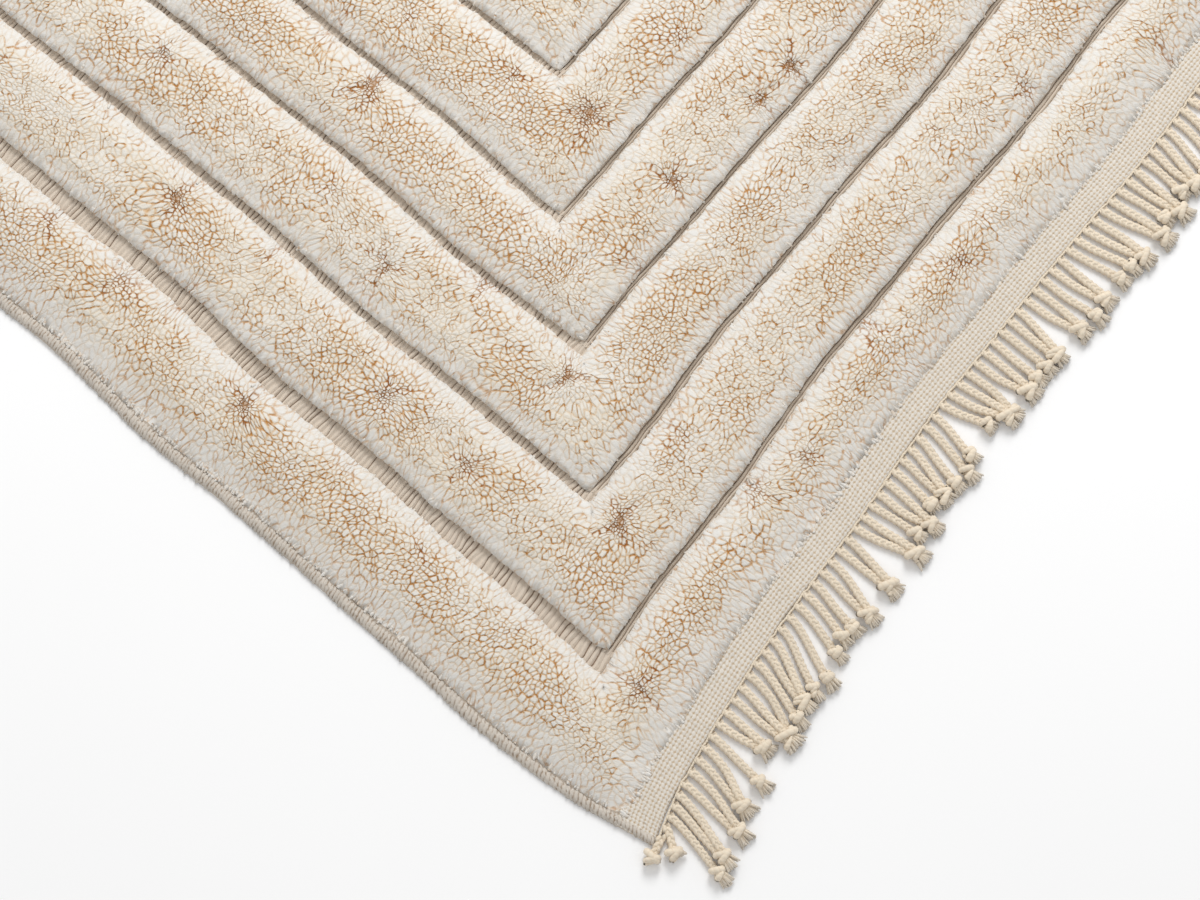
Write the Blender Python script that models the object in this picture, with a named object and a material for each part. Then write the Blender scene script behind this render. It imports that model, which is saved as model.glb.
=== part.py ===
"""Hand-knotted wool rug with carved channels and braided ends, lying flat on the floor.

Metres, +Z up. The warp runs along Y: the woven end strips and their braids are at -Y and +Y, and
the selvedges are at -X and +X. The origin is on the floor under the middle of the rug. The rug
comes back onto itself when it is turned half round about Z.
"""

import math
from collections import namedtuple
from itertools import cycle, islice

import bmesh
import bpy

# The cloth, as if it were perfectly square
WIDTH = 1.22
LENGTH = 1.83
HALF_WIDTH = WIDTH / 2
HALF_LENGTH = LENGTH / 2
SELVEDGE_WIDTH = 0.014
END_STRIP_WIDTH = 0.030
GROUND_HEIGHT = 0.004
OUTER_SHOULDER_HEIGHT = 0.018
SHOULDER_HEIGHT = 0.020
CROWN_HEIGHT = 0.022
OUTER_WALL_RUN = 0.010
WALL_RUN = 0.003

# The channels carved down to the ground, outermost first. Each is a closed rectangle: from_side
# and from_end are its middle line's distances from the selvedge and from the woven end's edge,
# by_side and by_end are its clear widths there.
Channel = namedtuple("Channel", "from_side from_end by_side by_end")
CHANNELS = (
    Channel(from_side=0.125, from_end=0.113, by_side=0.020, by_end=0.010),
    Channel(from_side=0.235, from_end=0.210, by_side=0.012, by_end=0.010),
    Channel(from_side=0.343, from_end=0.305, by_side=0.010, by_end=0.009),
    Channel(from_side=0.437, from_end=0.407, by_side=0.010, by_end=0.009),
    Channel(from_side=0.547, from_end=0.507, by_side=0.009, by_end=0.009),
)

# Stretched corners, at (-X, -Y) and (+X, +Y): how far the end and the side swing out, and how
# far along and into the rug that is felt. Past its swing the selvedge tucks back in to the corner.
END_FLARE = 0.075
END_FLARE_ALONG = 0.270
END_FLARE_DEPTH = 0.190
SIDE_FLARE = 0.020
SIDE_FLARE_ALONG = 0.500
SIDE_FLARE_DEPTH = 0.200
CORNER_TUCK = 0.025
CORNER_TUCK_ALONG = 0.190
CORNER_TUCK_DEPTH = 0.070

# Slow waves in every woven line. Odd functions, so that the half turn holds.
Wave = namedtuple("Wave", "height along across")
WAVES = (
    Wave(height=0.0022, along=0.46, across=1.30),
    Wave(height=0.0013, along=0.24, across=0.70),
)

# Stations along each long and each short side, where the cloth's outline may bend
LONG_STATIONS = 26
SHORT_STATIONS = 16

# The fringe: warp ends plaited into braids, each tied off in a knot with a short brush
BRAID_PITCH = 0.0137
BRAID_WIDTH = 0.0072
BRAID_HEIGHT = 0.0065
FIRST_BRAID_FROM_SIDE = 0.012
HEADER_DEPTH = 0.0025
PIECE_GAP = 0.0003
LONE_KNOT_WIDTH = 0.0125
SHARED_KNOT_WIDTH = 0.0082
KNOT_CLEARANCE = 0.0008
NECK_SHARE = 0.76

# What lies together in the fringe, from the stretched corner on: how many braids share a knot,
# how far the knot lies to the side (+X) of their roots, and how far it reaches from the edge
Tassel = namedtuple("Tassel", "braids lean reach")
CORNER_TASSELS = (
    Tassel(braids=1, lean=-0.020, reach=0.019),
    Tassel(braids=1, lean=-0.016, reach=0.033),
    Tassel(braids=1, lean=-0.036, reach=0.093),
    Tassel(braids=2, lean=-0.018, reach=0.091),
    Tassel(braids=2, lean=-0.010, reach=0.093),
    Tassel(braids=2, lean=-0.016, reach=0.083),
    Tassel(braids=1, lean=-0.006, reach=0.084),
    Tassel(braids=2, lean=0.003, reach=0.066),
    Tassel(braids=3, lean=-0.016, reach=0.086),
    Tassel(braids=1, lean=-0.028, reach=0.084),
    Tassel(braids=2, lean=-0.037, reach=0.080),
    Tassel(braids=1, lean=-0.032, reach=0.082),
    Tassel(braids=1, lean=-0.026, reach=0.087),
    Tassel(braids=1, lean=-0.014, reach=0.077),
    Tassel(braids=1, lean=-0.011, reach=0.072),
    Tassel(braids=1, lean=-0.013, reach=0.074),
    Tassel(braids=2, lean=-0.012, reach=0.081),
)
# The rest of the edge repeats these
LONG_RUN_TASSELS = (
    Tassel(braids=2, lean=-0.004, reach=0.080),
    Tassel(braids=2, lean=0.012, reach=0.082),
    Tassel(braids=1, lean=0.004, reach=0.068),
    Tassel(braids=2, lean=-0.004, reach=0.078),
    Tassel(braids=1, lean=-0.012, reach=0.064),
    Tassel(braids=2, lean=-0.020, reach=0.071),
    Tassel(braids=1, lean=-0.014, reach=0.074),
    Tassel(braids=1, lean=-0.011, reach=0.079),
    Tassel(braids=1, lean=-0.010, reach=0.068),
    Tassel(braids=1, lean=0.014, reach=0.062),
    Tassel(braids=3, lean=0.008, reach=0.076),
    Tassel(braids=2, lean=0.004, reach=0.076),
    Tassel(braids=1, lean=-0.004, reach=0.073),
    Tassel(braids=1, lean=0.000, reach=0.074),
    Tassel(braids=2, lean=-0.005, reach=0.075),
    Tassel(braids=2, lean=0.004, reach=0.078),
    Tassel(braids=1, lean=0.005, reach=0.082),
    Tassel(braids=2, lean=0.003, reach=0.077),
    Tassel(braids=1, lean=0.010, reach=0.075),
    Tassel(braids=1, lean=0.014, reach=0.076),
)

PILE_COLOUR = (0.85, 0.79, 0.69, 1.0)
BRAID_COLOUR = (0.78, 0.66, 0.50, 1.0)


def clear_scene():
    for item in list(bpy.data.objects):
        bpy.data.objects.remove(item, do_unlink=True)


def wool(name, colour):
    """A plain wool finish."""
    material = bpy.data.materials.new(name)
    material.use_nodes = True
    shader = material.node_tree.nodes["Principled BSDF"]
    shader.inputs["Base Color"].default_value = colour
    shader.inputs["Roughness"].default_value = 0.95
    shader.inputs["Metallic"].default_value = 0.0
    material.diffuse_color = colour
    return material


# How the cloth lies


def corner_flare(x, y):
    """How far the stretched (-X, -Y) corner carries a point of the square rug."""
    from_side = x + HALF_WIDTH
    from_end = y + HALF_LENGTH
    end_out = END_FLARE * math.exp(-from_side / END_FLARE_ALONG - (from_end / END_FLARE_DEPTH) ** 2)
    side_out = SIDE_FLARE * math.exp(
        -((from_end / SIDE_FLARE_ALONG) ** 2) - (from_side / SIDE_FLARE_DEPTH) ** 2
    )
    near_corner = max(0.0, 1.0 - from_end / CORNER_TUCK_ALONG) ** 1.5
    tuck = CORNER_TUCK * near_corner * math.exp(-from_side / CORNER_TUCK_DEPTH)
    return tuck - side_out, -end_out


def wave(along, across):
    """The wander of a woven line, at a place along it and across the rug."""
    turn = 2 * math.pi
    return sum(w.height * math.sin(turn * (along / w.along + across / w.across)) for w in WAVES)


def lie(x, y):
    """Where the point (x, y) of the square rug lies on the real one."""
    near_x, near_y = corner_flare(x, y)
    far_x, far_y = corner_flare(-x, -y)
    return x + near_x - far_x + wave(y, x), y + near_y - far_y + wave(x, y)


def stations(half, count):
    """Evenly spaced places from -half to +half."""
    return [half * (2 * i / count - 1) for i in range(count + 1)]


def loop_outline(from_side, from_end):
    """The closed line at those distances inside the selvedges and the ends, anticlockwise."""
    xs = stations(HALF_WIDTH - from_side, SHORT_STATIONS)
    ys = stations(HALF_LENGTH - from_end, LONG_STATIONS)
    near = [(x, ys[0]) for x in xs[:-1]]
    right = [(xs[-1], y) for y in ys[:-1]]
    far = [(x, ys[-1]) for x in reversed(xs[1:])]
    left = [(xs[0], y) for y in reversed(ys[1:])]
    return [lie(x, y) for x, y in near + right + far + left]


Level = namedtuple("Level", "from_side from_end height")


def cloth_levels():
    """The cloth's section from the edge of its underside, up and over to the middle panel."""
    pile_side = SELVEDGE_WIDTH
    pile_end = END_STRIP_WIDTH
    levels = [
        Level(0.0, 0.0, 0.0),
        Level(0.0, 0.0, GROUND_HEIGHT),
        Level(pile_side, pile_end, GROUND_HEIGHT),
        Level(pile_side + OUTER_WALL_RUN, pile_end + OUTER_WALL_RUN, OUTER_SHOULDER_HEIGHT),
    ]
    for channel in CHANNELS:
        half_side = channel.by_side / 2
        half_end = channel.by_end / 2
        for way, height in ((-1, SHOULDER_HEIGHT), (1, CROWN_HEIGHT)):
            floor = Level(
                channel.from_side + way * half_side,
                channel.from_end + way * half_end,
                GROUND_HEIGHT,
            )
            shoulder = Level(
                floor.from_side + way * WALL_RUN,
                floor.from_end + way * WALL_RUN,
                height,
            )
            levels += [shoulder, floor] if way < 0 else [floor, shoulder]
    return levels


def lofted(name, loops, material):
    """One closed body through a stack of closed loops, with a flat face over each end."""
    mesh = bmesh.new()
    rings = [[mesh.verts.new(point) for point in loop] for loop in loops]
    mesh.faces.new(reversed(rings[0]))
    mesh.faces.new(rings[-1])
    for lower, upper in zip(rings, rings[1:]):
        for i in range(len(lower)):
            j = (i + 1) % len(lower)
            mesh.faces.new((lower[i], lower[j], upper[j], upper[i]))
    data = bpy.data.meshes.new(name)
    mesh.to_mesh(data)
    mesh.free()
    data.materials.append(material)
    return bpy.data.objects.new(name, data)


def cloth(material):
    """The knotted cloth: ground, end strips, selvedges, and pile with its channels."""
    loops = []
    for level in cloth_levels():
        outline = loop_outline(level.from_side, level.from_end)
        loops.append([(x, y, level.height) for x, y in outline])
    return lofted("rug_cloth", loops, material)


# The fringe


def end_edge_point(x):
    """The point of the cloth's faceted -Y edge that is at x on the square rug."""
    xs = stations(HALF_WIDTH, SHORT_STATIONS)
    step = xs[1] - xs[0]
    i = min(int((x - xs[0]) / step), SHORT_STATIONS - 1)
    share = (x - xs[i]) / step
    (ax, ay), (bx, by) = lie(xs[i], -HALF_LENGTH), lie(xs[i + 1], -HALF_LENGTH)
    return ax + share * (bx - ax), ay + share * (by - ay)


def tassel_rows(braid_count):
    """The tassels along one edge, until every braid has its place."""
    placed = 0
    rows = []
    for tassel in list(CORNER_TASSELS) + list(islice(cycle(LONG_RUN_TASSELS), braid_count)):
        braids = min(tassel.braids, braid_count - placed)
        if braids == 0:
            break
        rows.append(tassel._replace(braids=braids))
        placed += braids
    return rows


Tooth = namedtuple("Tooth", "root tip half_knot")


def teeth():
    """Each braid's root on the edge, the end of its brush, and half its knot's width."""
    span = WIDTH - 2 * FIRST_BRAID_FROM_SIDE
    braid_count = int(span / BRAID_PITCH) + 1
    first = -(braid_count - 1) * BRAID_PITCH / 2
    roots = [end_edge_point(first + i * BRAID_PITCH) for i in range(braid_count)]
    result = []
    used = 0
    limit = -math.inf
    for tassel in tassel_rows(braid_count):
        own = roots[used : used + tassel.braids]
        used += tassel.braids
        knot_width = LONE_KNOT_WIDTH if tassel.braids == 1 else SHARED_KNOT_WIDTH
        pitch = knot_width + KNOT_CLEARANCE
        middle_x = sum(root[0] for root in own) / len(own) + tassel.lean
        middle_y = sum(root[1] for root in own) / len(own) - tassel.reach
        start = max(middle_x - pitch * (tassel.braids - 1) / 2, limit + knot_width / 2)
        for i, root in enumerate(own):
            tip = (start + i * pitch, middle_y)
            result.append(Tooth(root, tip, knot_width / 2))
        limit = result[-1].tip[0] + knot_width / 2 + KNOT_CLEARANCE
    return result


def tooth_side(tooth, way):
    """Four points down one side of a braid and its knot, from the header to the brush's end."""
    (root_x, root_y), (tip_x, tip_y) = tooth.root, tooth.tip
    half_braid = BRAID_WIDTH / 2
    start_y = root_y - PIECE_GAP - HEADER_DEPTH
    points = []
    for share, half in ((0.0, half_braid), (0.45, half_braid), (NECK_SHARE, half_braid)):
        swing = share * share * (3 - 2 * share)
        x = root_x + swing * (tip_x - root_x)
        points.append((x + way * half, start_y + share * (tip_y - start_y)))
    points.append((tip_x + way * tooth.half_knot, tip_y))
    return points


def comb_outline():
    """The -Y fringe seen from above: a header along the cloth's edge, and every braid."""
    half_braid = BRAID_WIDTH / 2
    all_teeth = teeth()
    first_x = all_teeth[0].root[0] - half_braid
    last_x = all_teeth[-1].root[0] + half_braid
    edge = [lie(x, -HALF_LENGTH) for x in stations(HALF_WIDTH, SHORT_STATIONS)]
    first_y = edge_height(edge, first_x)
    last_y = edge_height(edge, last_x)
    back = [(first_x, first_y)] + [p for p in edge if first_x < p[0] < last_x] + [(last_x, last_y)]
    outline = [(x, y - PIECE_GAP) for x, y in reversed(back)]
    for tooth in all_teeth:
        outline += tooth_side(tooth, -1) + list(reversed(tooth_side(tooth, 1)))
    return outline


def edge_height(edge, x):
    """The y of a line of points at x, carried on straight past its ends."""
    i = max(j for j in range(len(edge) - 1) if j == 0 or edge[j][0] <= x)
    (ax, ay), (bx, by) = edge[i], edge[i + 1]
    return ay + (x - ax) / (bx - ax) * (by - ay)


def comb(name, outline, material):
    """A flat comb of braids with that outline, lying on the floor."""
    curve = bpy.data.curves.new(name, "CURVE")
    curve.dimensions = "2D"
    curve.fill_mode = "BOTH"
    curve.extrude = BRAID_HEIGHT / 2
    spline = curve.splines.new("POLY")
    spline.points.add(len(outline) - 1)
    for point, (x, y) in zip(spline.points, outline):
        point.co = (x, y, 0.0, 1.0)
    spline.use_cyclic_u = True
    curve.materials.append(material)
    piece = bpy.data.objects.new(name, curve)
    piece.location.z = BRAID_HEIGHT / 2
    return piece


def main():
    clear_scene()
    collection = bpy.data.collections.new("rug")
    bpy.context.scene.collection.children.link(collection)
    pile = wool("pile_wool", PILE_COLOUR)
    braid = wool("braid_wool", BRAID_COLOUR)
    near_outline = comb_outline()
    far_outline = [(-x, -y) for x, y in near_outline]
    pieces = (
        cloth(pile),
        comb("fringe_near", near_outline, braid),
        comb("fringe_far", far_outline, braid),
    )
    for piece in pieces:
        collection.objects.link(piece)


main()
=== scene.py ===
"""Looks of the hand-knotted wool rug: ground weave, carved pile, selvedges and braided fringe."""

import math
from collections import namedtuple
from itertools import chain, cycle

import bpy
import numpy as np
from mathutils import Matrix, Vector


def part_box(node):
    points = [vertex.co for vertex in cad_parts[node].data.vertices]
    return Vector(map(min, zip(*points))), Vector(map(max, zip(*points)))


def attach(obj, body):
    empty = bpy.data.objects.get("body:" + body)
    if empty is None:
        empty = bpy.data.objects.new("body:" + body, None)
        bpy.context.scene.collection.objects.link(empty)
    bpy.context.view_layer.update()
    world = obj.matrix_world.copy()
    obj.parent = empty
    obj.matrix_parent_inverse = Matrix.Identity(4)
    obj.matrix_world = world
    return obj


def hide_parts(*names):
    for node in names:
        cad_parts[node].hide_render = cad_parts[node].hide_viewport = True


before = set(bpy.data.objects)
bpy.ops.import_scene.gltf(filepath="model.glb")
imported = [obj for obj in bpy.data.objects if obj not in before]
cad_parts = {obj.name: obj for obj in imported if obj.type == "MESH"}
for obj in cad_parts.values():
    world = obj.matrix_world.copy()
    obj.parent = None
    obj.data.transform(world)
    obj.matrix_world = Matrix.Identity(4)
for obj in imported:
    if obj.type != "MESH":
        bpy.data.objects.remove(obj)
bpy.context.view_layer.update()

TURN = 2 * math.pi
UP = np.array([0.0, 0.0, 1.0])

# ---- the cloth's plan, as in the CAD
# All sizes are in metres on a perfectly square rug; lie() then puts a point where it really is.
WIDTH = 1.22
LENGTH = 1.83
HALF_WIDTH = WIDTH / 2
HALF_LENGTH = LENGTH / 2
SELVEDGE_WIDTH = 0.014
END_STRIP_WIDTH = 0.030
GROUND_TOP = 0.0030
PILE_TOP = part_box("rug_cloth")[1].z

Channel = namedtuple("Channel", "from_side from_end by_side by_end")
CHANNELS = (
    Channel(0.125, 0.113, 0.020, 0.010),
    Channel(0.235, 0.210, 0.012, 0.010),
    Channel(0.343, 0.305, 0.010, 0.009),
    Channel(0.437, 0.407, 0.010, 0.009),
    Channel(0.547, 0.507, 0.009, 0.009),
)

END_FLARE = 0.075
END_FLARE_ALONG = 0.270
END_FLARE_DEPTH = 0.190
SIDE_FLARE = 0.020
SIDE_FLARE_ALONG = 0.500
SIDE_FLARE_DEPTH = 0.200
CORNER_TUCK = 0.025
CORNER_TUCK_ALONG = 0.190
CORNER_TUCK_DEPTH = 0.070

Wave = namedtuple("Wave", "height along across")
WAVES = (
    Wave(0.0022, 0.46, 1.30),
    Wave(0.0013, 0.24, 0.70),
)

BRAID_PITCH = 0.0137
FIRST_BRAID_FROM_SIDE = 0.012
HEADER_DEPTH = 0.0025
PIECE_GAP = 0.0003
LONE_KNOT_WIDTH = 0.0125
SHARED_KNOT_WIDTH = 0.0082
KNOT_CLEARANCE = 0.0008
SHORT_STATIONS = 16

Tassel = namedtuple("Tassel", "braids lean reach")
# From the stretched corner on: braids to a knot, its lean along the edge, its reach from it
CORNER_TASSELS = [
    Tassel(*row)
    for row in (
        (1, -0.020, 0.019), (1, -0.016, 0.033), (1, -0.036, 0.093), (2, -0.018, 0.091),
        (2, -0.010, 0.093), (2, -0.016, 0.083), (1, -0.006, 0.084), (2, 0.003, 0.066),
        (3, -0.016, 0.086), (1, -0.028, 0.084), (2, -0.037, 0.080), (1, -0.032, 0.082),
        (1, -0.026, 0.087), (1, -0.014, 0.077), (1, -0.011, 0.072), (1, -0.013, 0.074),
        (2, -0.012, 0.081),
    )
]
# The rest of the edge repeats these
LONG_RUN_TASSELS = [
    Tassel(*row)
    for row in (
        (2, -0.004, 0.080), (2, 0.012, 0.082), (1, 0.004, 0.068), (2, -0.004, 0.078),
        (1, -0.012, 0.064), (2, -0.020, 0.071), (1, -0.014, 0.074), (1, -0.011, 0.079),
        (1, -0.010, 0.068), (1, 0.014, 0.062), (3, 0.008, 0.076), (2, 0.004, 0.076),
        (1, -0.004, 0.073), (1, 0.000, 0.074), (2, -0.005, 0.075), (2, 0.004, 0.078),
        (1, 0.005, 0.082), (2, 0.003, 0.077), (1, 0.010, 0.075), (1, 0.014, 0.076),
    )
]

# ---- how the pile is knotted
KNOT_X = 0.0056  # between the knots of a row
KNOT_Y = 0.0049  # between the rows
KNOT_SCATTER = 0.30  # of those, how far a tuft stands off its place
TUFT_RELIEF = 0.0012
CLUMP = 0.0008
SWELL = 0.0011
ROW_WIND = 0.0034  # how far the rows wander, slowly and quickly
ROW_WAVER = 0.0019
LAY_WIND = 0.0080  # and how far the pattern of cracks does
LAY_WAVER = 0.0022

# How the pile turns over an edge: drawn out towards it by pull over reach, falling to height (a share
# of the pile's) over rounding, and leaning out over it
Edge = namedtuple("Edge", "pull reach height rounding lean")
CHANNEL_EDGE = Edge(pull=0.0060, reach=0.014, height=0.52, rounding=0.028, lean=0.0012)
OUTER_EDGE = Edge(pull=0.0110, reach=0.024, height=0.17, rounding=0.040, lean=0.0008)
EDGE_RAG = 0.0022

# Places where the pile falls open in a star of partings
STAR_SPACING = 0.105
STAR_SCATTER = 0.036
STAR_ARM = (0.012, 0.034)
STAR_ARMS = (3, 7)
PARTING_WIDTH = 0.0050
STAR_CROWDING = 0.35
STAR_STRENGTH = (0.2, 1.15)
STAR_DEPTH = 0.0034
STAR_FALL = 0.0013


# ---- smooth fields and plan


def field(size, seed):
    """A smooth random field over the rug, from -1 to 1, that changes over that distance."""
    reach = 1.3
    count = int(2 * reach / size) + 4
    knots = np.random.default_rng(seed).uniform(-1, 1, (count, count))

    def read(x, y):
        gx = (np.asarray(x) + reach) / size
        gy = (np.asarray(y) + reach) / size
        i = np.clip(gx.astype(int), 0, count - 2)
        j = np.clip(gy.astype(int), 0, count - 2)
        u, v = gx - i, gy - j
        u = u * u * (3 - 2 * u)
        v = v * v * (3 - 2 * v)
        low = knots[i, j] * (1 - u) + knots[i + 1, j] * u
        high = knots[i, j + 1] * (1 - u) + knots[i + 1, j + 1] * u
        return low * (1 - v) + high * v

    return read


def corner_flare(x, y):
    """How far the stretched (-X, -Y) corner carries a point of the square rug."""
    from_side = x + HALF_WIDTH
    from_end = y + HALF_LENGTH
    end_out = END_FLARE * np.exp(-from_side / END_FLARE_ALONG - (from_end / END_FLARE_DEPTH) ** 2)
    side_out = SIDE_FLARE * np.exp(
        -((from_end / SIDE_FLARE_ALONG) ** 2) - (from_side / SIDE_FLARE_DEPTH) ** 2
    )
    near_corner = np.maximum(0.0, 1.0 - from_end / CORNER_TUCK_ALONG) ** 1.5
    tuck = CORNER_TUCK * near_corner * np.exp(-from_side / CORNER_TUCK_DEPTH)
    return tuck - side_out, -end_out


def wave(along, across):
    """The wander of a woven line, at a place along it and across the rug."""
    return sum(w.height * np.sin(TURN * (along / w.along + across / w.across)) for w in WAVES)


def lie(x, y):
    """Where the point (x, y) of the square rug lies on the real one."""
    near_x, near_y = corner_flare(x, y)
    far_x, far_y = corner_flare(-x, -y)
    return x + near_x - far_x + wave(y, x), y + near_y - far_y + wave(x, y)


def smooth(share):
    share = np.clip(share, 0.0, 1.0)
    return share * share * (3 - 2 * share)


# ---- meshes


def new_piece(name, points, faces, material, shades):
    """A shown piece of the rug from points and lists of faces, with named shades on its points."""
    mesh = bpy.data.meshes.new(name)
    all_faces = [face for group in faces for face in np.asarray(group).tolist()]
    mesh.from_pydata(np.asarray(points).tolist(), [], all_faces)
    mesh.shade_smooth()
    for shade, values in shades.items():
        values = np.asarray(values, np.float32)
        if shade == "lay":
            layer = mesh.attributes.new(shade, "FLOAT_VECTOR", "POINT")
            layer.data.foreach_set("vector", np.column_stack([values, 0 * values[:, 0]]).ravel())
        else:
            layer = mesh.attributes.new(shade, "FLOAT", "POINT")
            layer.data.foreach_set("value", values.ravel())
    mesh.materials.append(material)
    mesh.update()
    piece = bpy.data.objects.new(name, mesh)
    bpy.context.scene.collection.objects.link(piece)
    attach(piece, "root")
    return piece


def grid_quads(rows, columns):
    """The quads of a grid of points that is numbered row by row, facing up when rows run along X."""
    start = np.arange(rows * columns).reshape(rows, columns)
    a, b = start[:-1, :-1], start[1:, :-1]
    c, d = start[1:, 1:], start[:-1, 1:]
    return np.stack([a, b, c, d], axis=-1).reshape(-1, 4)


def join(parts):
    """One set of points, faces and shades from several."""
    points, faces, shades, count = [], [], [], 0
    for part_points, part_faces, part_shades in parts:
        points.append(part_points)
        faces.append(part_faces + count)
        shades.append(part_shades)
        count += len(part_points)
    joined = {key: np.concatenate([s[key] for s in shades]) for key in shades[0]}
    return np.concatenate(points), np.concatenate(faces), joined


def unit(vectors):
    return vectors / np.maximum(np.linalg.norm(vectors, axis=-1, keepdims=True), 1e-9)


def tubes(paths, radii, sides, flat=1.0):
    """Tubes along many paths at once: paths is (count, rings, 3) and radii (count, rings).

    flat is how high a tube is for its width. Returns points (count, rings, sides, 3) and quads."""
    count, rings, _ = paths.shape
    along = unit(np.gradient(paths, axis=1))
    side = unit(np.cross(along, UP))
    over = np.cross(side, along) * flat
    angle = TURN * np.arange(sides) / sides
    ring = np.cos(angle)[:, None] * side[:, :, None, :] + np.sin(angle)[:, None] * over[:, :, None, :]
    points = paths[:, :, None, :] + radii[:, :, None, None] * ring
    start = np.arange(count * rings * sides).reshape(count, rings, sides)
    a, b = start[:, :-1], start[:, 1:]
    quads = np.stack([a, b, np.roll(b, -1, axis=2), np.roll(a, -1, axis=2)], axis=-1)
    return points, quads.reshape(-1, 4)


# ---- pile

Band = namedtuple("Band", "outer_side outer_end inner_side inner_end outermost")
Rim = namedtuple("Rim", "x y z out_x out_y at_channel")
WALL_LAY = 0.004
LOCK_SPREAD = 1.9


def shoulder(style, inside):
    """The share of the pile's height that stands so far inside an edge."""
    return 1 - (1 - style.height) * (1 - np.clip(inside / style.rounding, 0, 1)) ** 2.2


def pile_bands():
    """The rings of pile between the channels, from the outside in, and the middle panel."""
    bands = []
    outer_side, outer_end = SELVEDGE_WIDTH, END_STRIP_WIDTH
    for channel in CHANNELS:
        inner_side = channel.from_side - channel.by_side / 2
        inner_end = channel.from_end - channel.by_end / 2
        bands.append(Band(outer_side, outer_end, inner_side, inner_end, not bands))
        outer_side = channel.from_side + channel.by_side / 2
        outer_end = channel.from_end + channel.by_end / 2
    bands.append(Band(outer_side, outer_end, HALF_WIDTH, HALF_LENGTH, False))
    return bands


def staggered_knots(half_x, half_y):
    """Knots in rows over a box about the origin, each second row half a knot along."""
    columns = int(2 * half_x / KNOT_X) + 6
    rows = int(2 * half_y / KNOT_Y) + 6
    i, j = np.meshgrid(np.arange(columns), np.arange(rows))
    x = (i - (columns - 1) / 2 + 0.5 * (j % 2) - 0.25) * KNOT_X
    y = (j - (rows - 1) / 2) * KNOT_Y
    return x, y


def between_threes(knots):
    """The mean of each three neighbouring knots: a row of corners between two rows of knots."""
    rows, columns = knots.shape
    corners = np.empty((rows - 1, 2 * (columns - 1)))
    for odd in (0, 1):
        below, above = knots[:-1][odd::2], knots[1:][odd::2]
        first, second = (above, below) if odd else (below, above)
        corners[odd::2, 0::2] = (first[:, :-1] + first[:, 1:] + second[:, :-1]) / 3
        corners[odd::2, 1::2] = (second[:, :-1] + second[:, 1:] + first[:, 1:]) / 3
    return corners


def tuft_faces(kept):
    """Six triangles round each kept knot, and the outlines' steps from corner to corner."""
    rows, columns = kept.shape
    knot = np.arange(rows * columns).reshape(rows, columns)
    corner = rows * columns + np.arange((rows - 1) * 2 * (columns - 1)).reshape(rows - 1, -1)
    j, i = np.nonzero(kept)
    k = 2 * i - 2 + j % 2
    ring = [corner[j - 1, k + step] for step in (0, 1, 2)]
    ring += [corner[j, k + step] for step in (2, 1, 0)]
    middle = knot[j, i]
    pairs = list(zip(ring, ring[1:] + ring[:1]))
    faces = np.concatenate([np.stack([middle, a, b], axis=-1) for a, b in pairs])
    start = np.concatenate([a for a, b in pairs])
    stop = np.concatenate([b for a, b in pairs])
    whole = knot.size + corner.size
    lone = ~np.isin(stop * whole + start, start * whole + stop)
    return faces, start[lone], stop[lone]


def on_outline(x, y, edge, hole):
    """Outline points moved square onto the band's edge or its hole's, and the way out there."""
    ex, ey = edge[0] - np.abs(x), edge[1] - np.abs(y)
    hx, hy = np.abs(x) - hole[0], np.abs(y) - hole[1]
    at_hole = np.abs(np.maximum(hx, hy)) < np.abs(np.minimum(ex, ey))
    by_x = np.where(at_hole, hx > hy, ex < ey)
    half_x = np.where(at_hole, hole[0], edge[0])
    half_y = np.where(at_hole, hole[1], edge[1])
    out = np.where(at_hole, -1.0, 1.0)
    out_x = np.where(by_x, np.sign(x) * out, 0.0)
    out_y = np.where(by_x, 0.0, np.sign(y) * out)
    x = np.where(by_x, np.sign(x) * half_x, x)
    y = np.where(by_x, y, np.sign(y) * half_y)
    return x, y, out_x, out_y, at_hole


def band_edges(x, y, edge, hole, outer_style):
    """Each edge near a point of the band: how far inside it that is, the way out and its style."""
    edges = [
        (edge[0] - np.abs(x), np.sign(x), np.zeros_like(x), outer_style),
        (edge[1] - np.abs(y), np.zeros_like(x), np.sign(y), outer_style),
    ]
    if hole[0] > 0:
        over_x = np.sign(x) * np.maximum(np.abs(x) - hole[0], 0)
        over_y = np.sign(y) * np.maximum(np.abs(y) - hole[1], 0)
        away = np.hypot(over_x, over_y)
        inner_x = np.abs(x) - hole[0] > np.abs(y) - hole[1]
        flat = away < 1e-7
        way_x = np.where(flat, np.where(inner_x, np.sign(x), 0.0), over_x / np.maximum(away, 1e-7))
        way_y = np.where(flat, np.where(inner_x, 0.0, np.sign(y)), over_y / np.maximum(away, 1e-7))
        edges.append((away, -way_x, -way_y, CHANNEL_EDGE))
    return edges


def star_list():
    """The stars of partings over the whole rug: middle, arms' directions and lengths, strength."""
    random = np.random.default_rng(77)
    stars = []
    for x in np.arange(-HALF_WIDTH, HALF_WIDTH, STAR_SPACING):
        for y in np.arange(-HALF_LENGTH, HALF_LENGTH, STAR_SPACING):
            middle = np.array([x, y]) + random.uniform(-STAR_SCATTER, STAR_SCATTER, 2)
            count = random.integers(*STAR_ARMS)
            turn = random.uniform(0, TURN)
            ways = turn + TURN * np.arange(count) / count + random.uniform(-0.4, 0.4, count)
            strength = random.uniform(*STAR_STRENGTH)
            lengths = random.uniform(*STAR_ARM, count) * (0.5 + 0.6 * strength)
            stars.append((middle, ways, lengths, strength))
    return stars


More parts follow.
